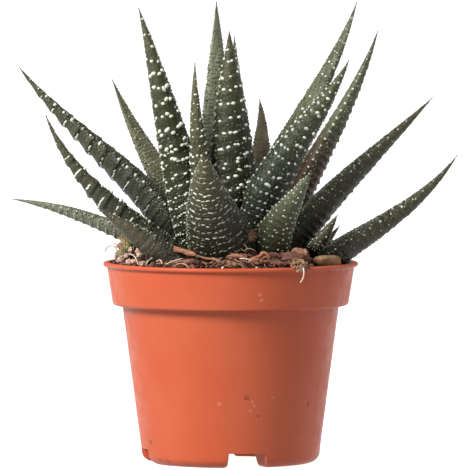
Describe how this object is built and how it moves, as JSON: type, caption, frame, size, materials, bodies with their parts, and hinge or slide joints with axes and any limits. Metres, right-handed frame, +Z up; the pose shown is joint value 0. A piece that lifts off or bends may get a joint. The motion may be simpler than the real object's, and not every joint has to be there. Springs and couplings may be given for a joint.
{
  "type": "potted haworthia succulent",
  "caption": "Haworthia with a loose rosette of thick, pointed, white-warted leaves and a small offset, in a round clay-coloured nursery pot filled with soil and bark litter.",
  "frame": {"origin": "on the pot's axis, on the flat surface that the pot's foot ring stands on", "axes": "+Z up along the pot's axis, +X to the right of the pictured side, -Y towards its viewer"},
  "size_m": [0.149, 0.099, 0.1538],
  "materials": {
    "pot_clay_plastic": "satin",
    "soil_peat": "matte",
    "stem_skin": "matte",
    "leaf_skin": "satin",
    "dry_leaf_skin": "matte",
    "bark": "matte",
    "husk": "matte",
    "twig_bark": "matte",
    "root_tan": "matte",
    "root_cream": "matte",
    "moss": "matte",
    "pebble": "matte"
  },
  "bodies": {
    "root": {"pot": "pot_clay_plastic", "soil": "soil_peat", "stem": "stem_skin", "offset_stem": "stem_skin", "leaf_left_low": "leaf_skin", "leaf_left_front": "leaf_skin", "leaf_left_high": "leaf_skin", "leaf_back_left_high": "leaf_skin", "leaf_tall_left": "leaf_skin", "leaf_slim_front": "leaf_skin", "leaf_broad_front": "leaf_skin", "leaf_tallest": "leaf_skin", "leaf_centre": "leaf_skin", "leaf_centre_back": "leaf_skin", "leaf_tall_right": "leaf_skin", "leaf_right_front": "leaf_skin", "leaf_right_back": "leaf_skin", "leaf_right_spread": "leaf_skin", "leaf_right_low": "leaf_skin", "leaf_short_front": "leaf_skin", "leaf_offset_inner": "leaf_skin", "leaf_offset_outer": "leaf_skin", "leaf_back_low": "leaf_skin", "leaf_back_right_low": "leaf_skin", "leaf_back_left_low": "leaf_skin", "leaf_far_left_low": "leaf_skin", "leaf_far_right_low": "leaf_skin", "leaf_dry_back": "dry_leaf_skin", "bark_chip": "bark", "bark_crumb": "bark", "husk_chip": "husk", "bark_curl": "husk", "twig": "twig_bark", "root_tangle": "root_tan", "root_over_rim": "root_cream", "moss_tuft": "moss", "pebble_left": "pebble", "pebble_middle": "pebble", "pebble_right": "pebble"}
  },
  "joints": []
}
